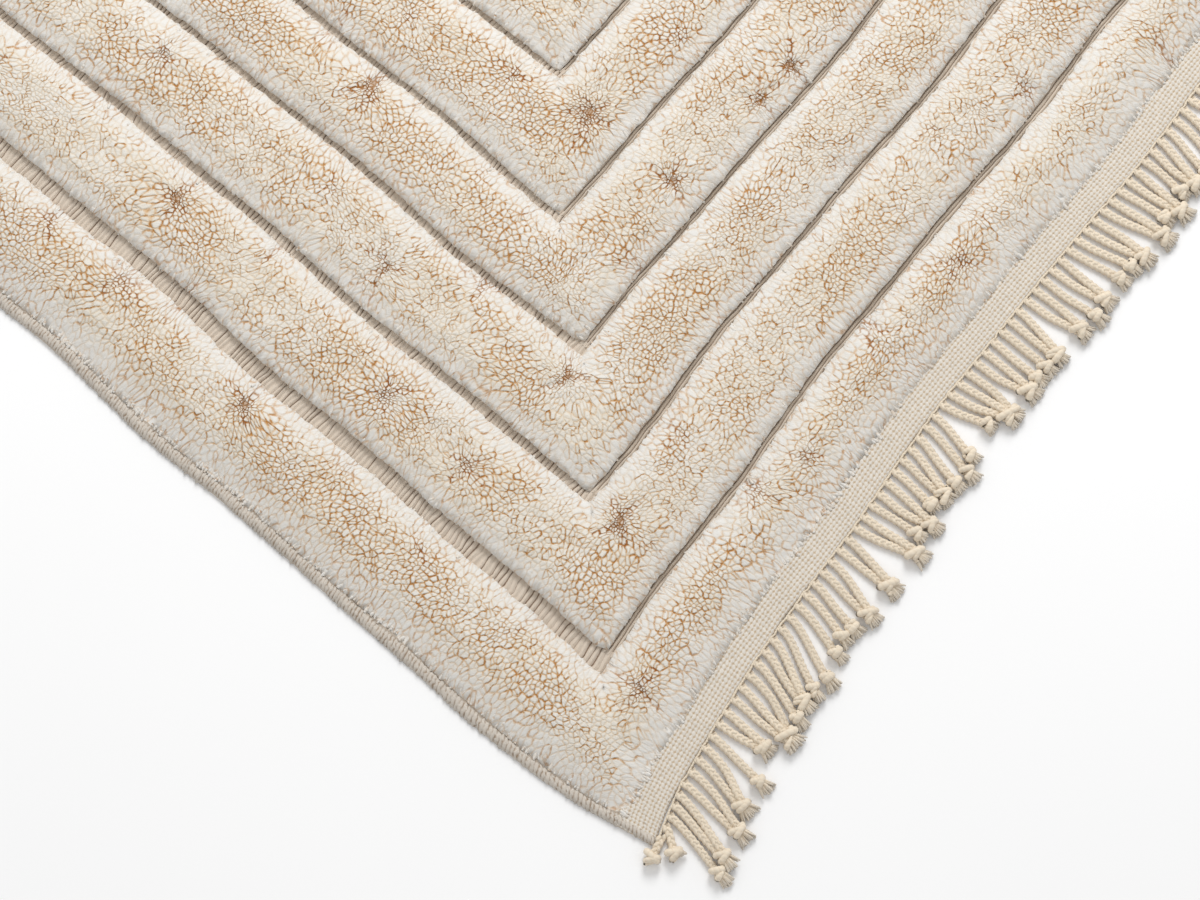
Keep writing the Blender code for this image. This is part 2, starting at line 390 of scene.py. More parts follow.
def partings(x, y):
    """How open the pile is at each point because of the stars, the way it falls, and how much its
    locks are drawn together there."""
    open_here, fall_x, fall_y = np.zeros_like(x), np.zeros_like(x), np.zeros_like(x)
    crowd_x, crowd_y = np.zeros_like(x), np.zeros_like(x)
    bend = field(0.018, 61)(x, y) * 0.0035
    bend_y = field(0.018, 62)(x, y) * 0.0035
    for middle, ways, lengths, strength in star_list():
        far = max(lengths) + 2 * PARTING_WIDTH
        near = np.nonzero((np.abs(x - middle[0]) < far) & (np.abs(y - middle[1]) < far))[0]
        if len(near) == 0:
            continue
        dx = x[near] - middle[0] + bend[near]
        dy = y[near] - middle[1] + bend_y[near]
        share = np.clip(np.hypot(dx, dy) / far, 0.1, 1.0)
        crowd_x[near] += dx * strength * (share**-STAR_CROWDING - 1)
        crowd_y[near] += dy * strength * (share**-STAR_CROWDING - 1)
        for way, length in zip(ways, lengths):
            c, s = math.cos(way), math.sin(way)
            along, off = dx * c + dy * s, dy * c - dx * s
            past = np.maximum(along - length, 0) + np.maximum(-along, 0)
            gap = np.hypot(off, past)
            fade = 1 - 0.6 * np.clip(along / length, 0, 1)
            value = strength * fade * np.clip(1 - gap / PARTING_WIDTH, 0, 1)
            push = np.sign(off) * value
            open_here[near] = np.maximum(open_here[near], value)
            fall_x[near] -= push * s
            fall_y[near] += push * c
    return open_here, np.clip(fall_x, -1, 1), np.clip(fall_y, -1, 1), crowd_x, crowd_y


def pile_band(index, band, material):
    """One ring of pile, each tuft of wool a small mound, with the walls down to the ground."""
    random = np.random.default_rng(100 + index)
    outer_style = OUTER_EDGE if band.outermost else CHANNEL_EDGE
    edge = (HALF_WIDTH - band.outer_side - outer_style.pull, HALF_LENGTH - band.outer_end - outer_style.pull)
    hole = (0.0, 0.0)
    if band.inner_side < HALF_WIDTH:
        hole = (
            HALF_WIDTH - band.inner_side + CHANNEL_EDGE.pull,
            HALF_LENGTH - band.inner_end + CHANNEL_EDGE.pull,
        )

    # Knots, scattered off their places and crowded or spread by slow winds in the rows
    x, y = staggered_knots(*edge)
    in_hole = (np.abs(x) < hole[0]) & (np.abs(y) < hole[1])
    kept = (np.abs(x) < edge[0]) & (np.abs(y) < edge[1]) & ~in_hole
    inside = np.minimum(edge[0] - np.abs(x), edge[1] - np.abs(y))
    if hole[0] > 0:
        inside = np.minimum(inside, np.maximum(np.abs(x) - hole[0], np.abs(y) - hole[1]))
    free = smooth(inside / 0.012)
    wind_x = ROW_WIND * field(0.036, 48)(x, y) + ROW_WAVER * field(0.014, 49)(x, y)
    wind_y = ROW_WIND * field(0.036, 50)(x, y) + ROW_WAVER * field(0.014, 51)(x, y)
    scatter = KNOT_SCATTER * random.uniform(-1, 1, (2, *x.shape))
    knot_x = x + free * wind_x + scatter[0] * KNOT_X
    knot_y = y + free * wind_y + scatter[1] * KNOT_Y
    faces, start, stop = tuft_faces(kept)
    px = np.concatenate([knot_x.ravel(), between_threes(knot_x).ravel()])
    py = np.concatenate([knot_y.ravel(), between_threes(knot_y).ravel()])
    is_knot = np.arange(len(px)) < x.size

    # Only what the tufts use, with the outline square on the band's edges
    used, faces = np.unique(faces, return_inverse=True)
    faces = faces.reshape(-1, 3)
    px, py, is_knot = px[used], py[used], is_knot[used]
    start, stop = np.searchsorted(used, start), np.searchsorted(used, stop)
    rim = np.unique(start)
    px[rim], py[rim], out_x, out_y, at_hole = on_outline(px[rim], py[rim], edge, hole)

    # Heights and leans
    chance = random.random(len(px))
    ragged = 0.5 * field(0.009, 44)(px, py) + 0.4 * field(0.05, 45)(px, py) + 0.5 * (chance - 0.5)
    height = np.ones_like(px)
    rim_share = np.zeros_like(px)
    move_x, move_y = np.zeros_like(px), np.zeros_like(px)
    for inside, way_x, way_y, style in band_edges(px, py, edge, hole, outer_style):
        near = 1 - np.clip(inside / style.reach, 0, 1)
        crown = 1 - np.clip(inside / style.rounding, 0, 1)
        height *= shoulder(style, inside)
        move = (style.pull + style.lean + EDGE_RAG * ragged) * near**2
        move_x += way_x * move
        move_y += way_y * move
        # Nearness to an edge; the material paints a cooler, greyer shade there
        rim_share = np.maximum(rim_share, 0.55 * crown + 0.45 * near)
    star, fall_x, fall_y, crowd_x, crowd_y = partings(px, py)
    patch = smooth(0.5 + 0.7 * field(0.060, 42)(px, py) + 0.45 * field(0.021, 43)(px, py))
    openness = (0.10 + 0.75 * patch) * (1 - 0.6 * rim_share)
    swell = SWELL * (field(0.055, 46)(px, py) + 0.6 * field(0.022, 47)(px, py))
    tuft = CLUMP * field(0.0085, 53)(px, py) + TUFT_RELIEF * (0.5 * is_knot - 0.25 + 0.8 * (chance - 0.5))
    z = height * (PILE_TOP - 0.0010 + tuft) + swell - STAR_DEPTH * star**1.5
    lay_x, lay_y = lie(px, py)
    lay_x = lay_x + crowd_x + LAY_WIND * field(0.060, 54)(px, py) + LAY_WAVER * field(0.018, 55)(px, py)
    lay_y = lay_y + crowd_y + LAY_WIND * field(0.060, 56)(px, py) + LAY_WAVER * field(0.018, 57)(px, py)

    flat_x = px + move_x + STAR_FALL * fall_x
    flat_y = py + move_y + STAR_FALL * fall_y
    real_x, real_y = lie(flat_x, flat_y)
    points = np.stack([real_x, real_y, z], axis=-1)
    tone = random.random(len(px))
    lay = np.stack([lay_x, lay_y], axis=-1)
    shades = {"open": openness, "rim": rim_share, "tone": tone, "star": star, "lay": lay}

    # The walls down to the ground
    foot_x, foot_y = lie(flat_x[rim], flat_y[rim])
    place = np.zeros(len(px), int)
    place[rim] = np.arange(len(rim))
    wall_points, wall_quads, wall_shades = [points], [], {k: [v] for k, v in shades.items()}
    base_x = px[rim] + out_x * np.where(at_hole, CHANNEL_EDGE.pull, outer_style.pull)
    base_y = py[rim] + out_y * np.where(at_hole, CHANNEL_EDGE.pull, outer_style.pull)
    ground_x, ground_y = lie(base_x, base_y)
    upper_start, upper_stop = start, stop
    count = len(points)
    for share, bulge in ((0.5, 0.8), (0.0, -0.3)):
        ring = np.stack(
            [
                ground_x + bulge * (foot_x - ground_x),
                ground_y + bulge * (foot_y - ground_y),
                GROUND_TOP + share * (z[rim] - GROUND_TOP),
            ],
            axis=-1,
        )
        lower_start, lower_stop = count + place[start], count + place[stop]
        wall_quads.append(np.stack([lower_start, lower_stop, upper_stop, upper_start], axis=-1))
        upper_start, upper_stop = lower_start, lower_stop
        count += len(ring)
        wall_points.append(ring)
        for key, values in shades.items():
            lower = WALL_LAY * (1 - share) * np.stack([out_x, out_y], axis=-1) if key == "lay" else 0.0
            wall_shades[key].append(values[rim] + lower)
    points = np.concatenate(wall_points)
    shades = {k: np.concatenate(v) for k, v in wall_shades.items()}
    piece = new_piece(
        f"pile_band_{index + 1}", points, [faces, np.concatenate(wall_quads)], material, shades
    )
    rim_line = Rim(flat_x[rim], flat_y[rim], z[rim], out_x, out_y, at_hole | (not band.outermost))
    return piece, rim_line


def rim_tufts(index, rim, material):
    """Blunt locks of wool that lie out over a band's edges."""
    random = np.random.default_rng(300 + index)
    every = np.arange(len(rim.x))
    chosen = random.random(len(every))
    channel_locks = every[rim.at_channel & (chosen < 0.35)]
    outer_locks = every[~rim.at_channel & (chosen < 0.70)]
    picked = np.concatenate([channel_locks, outer_locks])
    x, y, z, out_x, out_y, at_channel = (values[picked] for values in rim)
    count = len(x)

    def between(channel_low, channel_high, outer_low, outer_high):
        share = random.random(count)
        at_outer = outer_low + share * (outer_high - outer_low)
        return np.where(at_channel, channel_low + share * (channel_high - channel_low), at_outer)

    turn = random.normal(0, 0.28, count)
    way_x = out_x * np.cos(turn) - out_y * np.sin(turn)
    way_y = out_x * np.sin(turn) + out_y * np.cos(turn)
    slip = random.uniform(-0.003, 0.003, count)
    start_in = between(0.0060, 0.0090, 0.0060, 0.0100)
    length = between(0.0065, 0.0080, 0.0070, 0.0090)
    shares = np.array([0.0, 0.5, 1.0])
    past = shares * length[:, None] - start_in[:, None]
    flat_x = (x + out_x * -start_in - out_y * slip)[:, None] + way_x[:, None] * shares * length[:, None]
    flat_y = (y + out_y * -start_in + out_x * slip)[:, None] + way_y[:, None] * shares * length[:, None]
    real_x, real_y = lie(flat_x, flat_y)
    inside = np.maximum(-past, 0.0) / LOCK_SPREAD
    outer_rise = shoulder(OUTER_EDGE, inside) - OUTER_EDGE.height
    channel_rise = shoulder(CHANNEL_EDGE, inside) - CHANNEL_EDGE.height
    rise = np.where(at_channel[:, None], channel_rise, outer_rise) * PILE_TOP
    drop = np.maximum(past, 0.0) * np.where(at_channel, random.uniform(0.8, 1.8, count), 0.35)[:, None]
    lift = random.uniform(-0.0020, -0.0009, count)
    height = np.maximum((z + lift)[:, None] + rise - drop, GROUND_TOP + 0.0012)
    paths = np.stack([real_x, real_y, height], axis=-1)
    radii = random.uniform(0.0017, 0.0027, count)[:, None] * np.array([0.6, 1.0, 0.50])
    points, quads = tubes(paths, radii, 4, 0.8)
    shape = points.shape[:3]

    def shade(values):
        return np.broadcast_to(values, shape).ravel()

    shades = {
        "open": shade(0.0),
        # The locks take the band edges' painted greyer shade
        "rim": shade(np.where(at_channel, 0.75, 0.95)[:, None, None]),
        "tone": shade(random.random(count)[:, None, None]),
        "star": shade(0.0),
        "lay": np.column_stack([shade(flat_x[:, :, None]), shade(flat_y[:, :, None])]),
    }
    return new_piece(f"rim_tufts_{index + 1}", points.reshape(-1, 3), [quads], material, shades)


# ---- ground weave, ends and selvedges
BEAD_X = 0.0046
BEAD_Y = 0.0041
OVERCAST_PITCH = 0.0037
BAR_PITCH = 0.0050
YARN_PITCH = 0.0034
UNDER_PILE = 0.005
GROUND_STEP = 0.030


def steps(low, high, pitch, parts):
    """Places from low to high, that many to each whole pitch."""
    return np.linspace(low, high, parts * max(1, round((high - low) / pitch)) + 1)


def woven(x, y, z, dip, seed):
    """Points, quads and shades of a woven strip over the square rug's x and y."""
    real_x, real_y = lie(x, y)
    points = np.stack([real_x, real_y, z], axis=-1).reshape(-1, 3)
    tone = np.random.default_rng(seed).random(x.shape)
    shades = {"dip": dip.ravel(), "tone": tone.ravel()}
    return points, grid_quads(*x.shape), shades


def ground_cloth(material):
    """The woven ground under everything: a thin closed cloth as large as the rug without its braids."""
    inset = 0.0015
    xs = steps(-HALF_WIDTH + inset, HALF_WIDTH - inset, GROUND_STEP, 1)
    ys = steps(-HALF_LENGTH + inset, HALF_LENGTH - inset, GROUND_STEP, 1)
    x, y = np.meshgrid(xs, ys, indexing="ij")
    real_x, real_y = lie(x, y)
    flat = np.stack([real_x, real_y], axis=-1).reshape(-1, 2)
    count = len(flat)
    points = np.vstack([np.c_[flat, np.full(count, GROUND_TOP)], np.c_[flat, np.zeros(count)]])
    quads = grid_quads(*x.shape)
    number = np.arange(count).reshape(x.shape)
    walk = np.concatenate([number[:-1, 0], number[-1, :-1], number[:0:-1, -1], number[0, :0:-1]])
    ahead = np.roll(walk, -1)
    walls = np.stack([walk + count, ahead + count, ahead, walk], axis=-1)
    shades = {"dip": np.full(2 * count, 0.6), "tone": np.full(2 * count, 0.5)}
    faces = [quads, quads[:, ::-1] + count, walls]
    return new_piece("ground_cloth", points, faces, material, shades)


def end_strip(name, way, material):
    """A flat-woven end: rows of weft beads from under the pile out to the edge."""
    xs = steps(-HALF_WIDTH + 0.002, HALF_WIDTH - 0.002, BEAD_X, 2)
    inward = steps(0.0, END_STRIP_WIDTH + 2 * UNDER_PILE, BEAD_Y, 2)
    x, deep = np.meshgrid(xs, inward, indexing="ij")
    odd_x = (np.arange(len(xs)) % 2 == 1)[:, None]
    odd_y = (np.arange(len(inward)) % 2 == 1)[None, :]
    # How low each point lies between the beads; the material paints shade there too
    dip = np.where(odd_x, np.where(odd_y, 0.0, 0.70), np.where(odd_y, 0.60, 1.0))
    random = np.random.default_rng(501)
    shift = 0.00035 * random.standard_normal((2, *x.shape))
    shift[1][:, 0] = 0
    z = GROUND_TOP + 0.0003 + (0.0012 + 0.0004 * random.random(x.shape)) * (1 - dip)
    z[:, 0] = 0.0016
    z[:, 1] -= 0.0004
    y = -HALF_LENGTH + deep + shift[1] + 0.0006 * field(0.03, 71)(x, deep)
    part = woven(way * (x + shift[0]), way * y, z, dip, 502)
    return new_piece(name, part[0], [part[1]], material, part[2])


def selvedge(name, way, material):
    """An overcast long edge: yarn wound over the outermost warps, rib beside rib."""
    ys = steps(-HALF_LENGTH + 0.0015, HALF_LENGTH - 0.0015, OVERCAST_PITCH, 2)
    turns = np.linspace(0, math.pi, 8)
    turn, y = np.meshgrid(turns, ys, indexing="ij")
    random = np.random.default_rng(511)
    rib = np.where(np.arange(len(ys)) % 2 == 1, 0.0, 1.0)[None, :] * np.ones_like(turn)
    size = (1 - 0.14 * rib) * (1 + 0.10 * random.standard_normal(len(ys)) * (1 - rib))
    half = SELVEDGE_WIDTH / 2
    x = -HALF_WIDTH + half - half * np.cos(turn) * size + 0.0010 * field(0.035, 72)(turn * 0, y)
    z = 0.0006 + 0.0056 * np.sin(turn) * size
    y = y + 0.0026 * (turn / math.pi - 0.5) + 0.0005 * random.standard_normal(y.shape)
    # Painted shade between the ribs, at random strength
    fold_shade = rib * random.uniform(0.45, 0.95, y.shape) + 0.25 * random.random(y.shape)
    part = woven(way * x, way * y, z, fold_shade, 512)
    return new_piece(name, part[0], [part[1]], material, part[2])


def channel_side(channel, way, seed):
    """The bare ground along a channel beside the long edge: bars of weft across it."""
    half = channel.by_side / 2 + UNDER_PILE
    middle = -HALF_WIDTH + channel.from_side
    reach = HALF_LENGTH - channel.from_end + channel.by_end / 2 + UNDER_PILE / 2
    ys = steps(-reach, reach, BAR_PITCH, 4)
    x, y = np.meshgrid(np.linspace(middle - half, middle + half, 4), ys, indexing="ij")
    # How low each point lies between the weft bars; the material paints dark shade in these gaps
    dip = np.array([1.0, 0.30, 0.0, 0.30])[np.arange(len(ys)) % 4]
    random = np.random.default_rng(seed)
    bar = (np.arange(len(ys)) + 2) // 4
    high = random.uniform(0.55, 1.15, bar.max() + 1)[bar]
    gap = np.arange(len(ys)) // 4
    dip = np.where(dip > 0.9, random.uniform(0.6, 1.15, gap.max() + 1)[gap], dip)
    dip = dip[None, :] * np.ones_like(x)
    z = GROUND_TOP + 0.0002 + 0.0026 * (1 - dip) * high
    y = y + 0.0016 * field(0.010, seed)(x, y) + 0.0008 * field(0.030, seed + 1)(x, y)
    return woven(way * x, way * y, z, dip, seed)


def channel_end(channel, way, seed):
    """The bare ground along a channel beside the woven end: a few yarns of weft along it."""
    half = channel.by_end / 2 + UNDER_PILE / 2
    middle = -HALF_LENGTH + channel.from_end
    reach = HALF_WIDTH - channel.from_side - channel.by_side / 2
    xs = steps(-reach, reach, 0.006, 1)
    ys = steps(middle - half, middle + half, YARN_PITCH, 4)
    x, y = np.meshgrid(xs, ys, indexing="ij")
    # How low each point lies between the yarns; the material paints dark shade there
    dip = np.array([1.0, 0.35, 0.0, 0.35])[np.arange(len(ys)) % 4][None, :] * np.ones_like(x)
    z = GROUND_TOP + 0.0002 + 0.0030 * (1 - dip) * (0.8 + 0.5 * field(0.015, seed)(x, y))
    y = y + 0.0008 * field(0.022, seed + 1)(x, y * 0) + 0.0004 * field(0.008, seed + 2)(x, y)
    return woven(way * x, way * y, z, dip, seed)


def channel_floor(index, channel, material):
    """The ground that shows all round one carved channel."""
    parts = [channel_side(channel, way, 520 + index) for way in (1, -1)]
    parts += [channel_end(channel, way, 540 + index) for way in (1, -1)]
    points, quads, shades = join(parts)
    return new_piece(f"channel_floor_{index + 1}", points, [quads], material, shades)


# ---- fringe
STRAND_RADIUS = 0.0025
PLAIT_HALF_WIDTH = 0.0024
PLAIT_HALF_HEIGHT = 0.0009
PLAIT_PERIOD = 0.0190
PLAIT_RINGS = 24
STRAND_SIDES = 5
PLY_PITCH = 0.0032
BRAID_MIDDLE = 0.0034
KNOT_SHARE = 0.80
KNOT_YARN = 0.0040
KNOT_MIDDLE = 0.0077
STUB_REACH = 0.040
CORNER_STUB_SHIFT = np.array([-0.004, 0.008])
BRUSH_STRANDS = 26


def end_edge_point(x):
    """The point of the cloth's faceted -Y edge that is at x on the square rug."""
    xs = np.linspace(-HALF_WIDTH, HALF_WIDTH, SHORT_STATIONS + 1)
    edge_x, edge_y = lie(xs, np.full_like(xs, -HALF_LENGTH))
    return np.array([np.interp(x, xs, edge_x), np.interp(x, xs, edge_y)])


def tassel_rows(braid_count):
    """The tassels along one edge, until every braid has its place."""
    placed = 0
    rows = []
    for tassel in chain(CORNER_TASSELS, cycle(LONG_RUN_TASSELS)):
        braids = min(tassel.braids, braid_count - placed)
        if braids == 0:
            break
        rows.append(tassel._replace(braids=braids))
        placed += braids
    return rows


Bunch = namedtuple("Bunch", "roots tips stub")


def bunches():
    """The braids that share each knot: their roots on the edge and the ends of their brushes."""
    span = WIDTH - 2 * FIRST_BRAID_FROM_SIDE
    braid_count = int(span / BRAID_PITCH) + 1
    first = -(braid_count - 1) * BRAID_PITCH / 2
    roots = [end_edge_point(first + i * BRAID_PITCH) for i in range(braid_count)]
    result = []
    used = 0
    limit = -math.inf
    for tassel in tassel_rows(braid_count):
        own = roots[used : used + tassel.braids]
        used += tassel.braids
        knot_width = LONE_KNOT_WIDTH if tassel.braids == 1 else SHARED_KNOT_WIDTH
        pitch = knot_width + KNOT_CLEARANCE
        middle_x = np.mean([root[0] for root in own]) + tassel.lean
        middle_y = np.mean([root[1] for root in own]) - tassel.reach
        start = max(middle_x - pitch * (tassel.braids - 1) / 2, limit + knot_width / 2)
        tips = [np.array([start + i * pitch, middle_y]) for i in range(tassel.braids)]
        if not result:
            tips[0] = tips[0] + CORNER_STUB_SHIFT
        result.append(Bunch(own, tips, tassel.reach < STUB_REACH))
        limit = tips[-1][0] + knot_width / 2 + KNOT_CLEARANCE
    return result


def braid_line(bunch, number, share, random):
    """The middle line of one braid down to its knot, in plan, with the height it lies at."""
    root = bunch.roots[number]
    tip = bunch.tips[number]
    middle = np.mean(bunch.tips, axis=0)
    start_y = root[1] - PIECE_GAP - HEADER_DEPTH / 2
    swing = smooth(share)
    gather = 0.55 * smooth((share - 0.35) / 0.5)
    x = root[0] + swing * (tip[0] - root[0]) + gather * (middle[0] - tip[0])
    y = start_y + share * (tip[1] - start_y)
    sway = random.uniform(-0.0016, 0.0016)
    x = x + sway * np.sin(math.pi * np.clip(share / KNOT_SHARE, 0, 1)) ** 2
    lift = 0.0024 * (number % 2) * smooth((share - 0.40) / 0.3)
    return np.stack([x, y, BRAID_MIDDLE + lift], axis=-1)


def plait(line):
    """Three strands plaited about a line: their points, with how deep each point lies."""
    step = np.linalg.norm(np.diff(line, axis=0), axis=1)
    along = np.concatenate([[0.0], np.cumsum(step)])
    heading = unit(np.gradient(line, axis=0))
    side = unit(np.cross(heading, UP))
    spread = PLAIT_HALF_WIDTH + 0.0014 * np.exp(-along / 0.003)
    paths, heights = [], []
    for strand in range(3):
        phase = TURN * (along / PLAIT_PERIOD + strand / 3)
        rise = PLAIT_HALF_HEIGHT * np.sin(2 * phase)
        paths.append(line + side * (spread * np.sin(phase))[:, None] + UP * rise[:, None])
        heights.append(rise / PLAIT_HALF_HEIGHT)
    return np.array(paths), np.array(heights), along


def strand_part(paths, radii, sides, under, along, tip, random):
    """Tubes of yarn with the shades that its material reads."""
    points, quads = tubes(paths, radii, sides)
    count, rings = radii.shape
    angle = TURN * np.arange(sides) / sides
    # Painted shade: darker on each tube's underside and where a strand passes under others
    low = 0.5 - 0.5 * np.sin(angle)
    dip = 0.55 * low[None, None, :] + 0.55 * under[:, :, None]
    ply = along[:, :, None] / PLY_PITCH + np.arange(sides)[None, None, :] / sides
    tone = random.random(count)[:, None, None] * np.ones((count, rings, sides))
    shades = {
        "dip": dip.ravel(),
        "ply": ply.ravel(),
        "tone": tone.ravel(),
        "tip": (tip[:, :, None] * np.ones(sides)).ravel(),
    }
    return points.reshape(-1, 3), quads, shades


def braid_part(line, random):
    paths, heights, along = plait(line)
    radii = np.full(heights.shape, STRAND_RADIUS) * random.uniform(0.94, 1.08)
    # Strands get painted shade where they pass under the others
    under = 0.5 - 0.5 * heights
    along = np.broadcast_to(along, heights.shape)
    return strand_part(paths, radii, STRAND_SIDES, under, along, np.zeros_like(radii), random)


def knot_frame(bunch):
    """Where a bunch is knotted, the way its brush points, and how wide it is."""
    middle_root = np.mean(bunch.roots, axis=0)
    middle_tip = np.mean(bunch.tips, axis=0)
    swing = smooth(KNOT_SHARE)
    x = middle_root[0] + swing * (middle_tip[0] - middle_root[0])
    y = middle_root[1] + KNOT_SHARE * (middle_tip[1] - middle_root[1])
    way = unit(np.array([middle_tip[0] - x, middle_tip[1] - y, 0.0]) * np.array([1.6, 1.0, 0.0]))
    wide = 0.0050 + 0.0022 * (len(bunch.roots) - 1) + (0.0020 if bunch.stub else 0.0)
    return np.array([x, y, KNOT_MIDDLE]), way, wide


def knot_part(bunch, random):
    """The knot: two crossing turns of its yarn round the bunch."""
    middle, way, wide = knot_frame(bunch)
    side = np.cross(way, UP)
    share = np.linspace(0, 1, 20)
    start = random.random()
    paths, unders = [], []
    for turn, forth in ((start, -0.0018), (start + 0.45, 0.0022)):
        phase = TURN * (random.uniform(1.0, 1.4) * share + turn)
        slant = random.uniform(0.15, 0.60) * (-1 if forth < 0 else 1)
        size = wide * random.uniform(0.85, 1.1)
        paths.append(
            middle
            + way * (forth + (share - 0.5) * 0.0040 + slant * size * np.cos(phase))[:, None]
            + side * (size * np.cos(phase))[:, None]
            + UP * (0.0034 * np.sin(phase))[:, None]
        )
        # Painted shade where a turn of the knot dips under
        unders.append(0.20 - 0.20 * np.sin(phase))
    taper = np.sin(math.pi * np.clip(share, 0.01, 0.99)) ** 0.35
    radii = KNOT_YARN * random.uniform(0.85, 1.0, 2)[:, None] * taper
    along = np.broadcast_to(share * 0.035, radii.shape)
    return strand_part(np.array(paths), radii, 8, np.array(unders), along, np.zeros_like(radii), random)


def brush_part(bunch, random):
    """The loose ends below the knot, fanned out on the floor."""
    middle, way, wide = knot_frame(bunch)
    side = np.cross(way, UP)
    count = BRUSH_STRANDS + 8 * (len(bunch.roots) - 1)
    reach = np.linalg.norm(np.mean(bunch.tips, axis=0) - middle[:2])
    share = np.array([0.0, 0.35, 0.75, 1.0])
    spread = random.uniform(-1, 1, count)
    fan = (wide + random.uniform(0.0020, 0.0055)) * spread
    start_side = 0.6 * wide * spread + random.uniform(-0.0006, 0.0006, count)
    high = random.random(count)
    start_z = middle[2] + 0.0022 * (2 * high - 1)
    end_z = 0.0012 + high * random.uniform(0.0040, 0.0080) * (1 - 0.4 * spread**2)
    length = reach * random.uniform(0.80, 1.0, count) * (1 - 0.10 * spread**2)
    curl = random.uniform(-0.0012, 0.0012, count)
    off = start_side[:, None] + (fan - start_side)[:, None] * share**1.3 + curl[:, None] * share**2
    forth = length[:, None] * share
    z = start_z[:, None] + (end_z - start_z)[:, None] * smooth(share)
    paths = middle * np.array([1.0, 1.0, 0.0]) + way * forth[..., None]
    paths = paths + side * off[..., None] + UP * z[..., None]
    radii = random.uniform(0.0010, 0.0016, count)[:, None] * np.array([1.0, 1.15, 1.0, 0.55])
    # Lower strands of the brush get more painted shade
    under = np.broadcast_to((0.30 * (1 - high))[:, None], radii.shape)
    tip = np.broadcast_to(share, radii.shape)
    return strand_part(paths, radii, 4, under, forth, tip, random)


def header_part(all_bunches, random):
    """The cord of twined yarn along the cloth's edge that the braids start from."""
    roots = np.array([root for bunch in all_bunches for root in bunch.roots])
    place = np.linspace(0, len(roots) - 1, 3 * len(roots) - 2)
    numbers = np.arange(len(roots))
    x = np.interp(place, numbers, roots[:, 0])
    y = np.interp(place, numbers, roots[:, 1]) - PIECE_GAP - 0.0002
    waver = 0.00035 * random.standard_normal(len(place))
    line = np.stack([x, y + waver, np.full_like(x, 0.0024)], axis=-1)
    radii = np.where(np.arange(len(place)) % 3 == 0, 0.0018, 0.0014)[None, :]
    along = (place * BRAID_PITCH)[None, :]
    # An even share of painted shade along the cord
    under = np.full_like(radii, 0.25)
    return strand_part(line[None], radii, STRAND_SIDES, under, along, np.zeros_like(radii), random)


def fringe(name, way, material):
    """All the braids of one end, with their knots and brushes."""
    random = np.random.default_rng(700)
    all_bunches = bunches()
    parts = [header_part(all_bunches, random)]
    share = np.linspace(0, KNOT_SHARE, PLAIT_RINGS)
    for bunch in all_bunches:
        for number in range(len(bunch.roots)):
            parts.append(braid_part(braid_line(bunch, number, share, random), random))
        parts.append(knot_part(bunch, random))
        parts.append(brush_part(bunch, random))
    points, quads, shades = join(parts)
    points = points * np.array([way, way, 1.0])
    return new_piece(name, points, [quads], material, shades)


# ---- materials
NAP_WAY = math.radians(-50)
NAP_STREAK = (0.0060, 0.0013, 0.0060)
NAP_WIND = 0.030
NAP_SWAY = 0.020
LOCK_SIZE = 0.0053
LOCK_WARP_SIZE = 0.0050
LOCK_WARP = 0.0017
PILE_BUMP = 0.0012


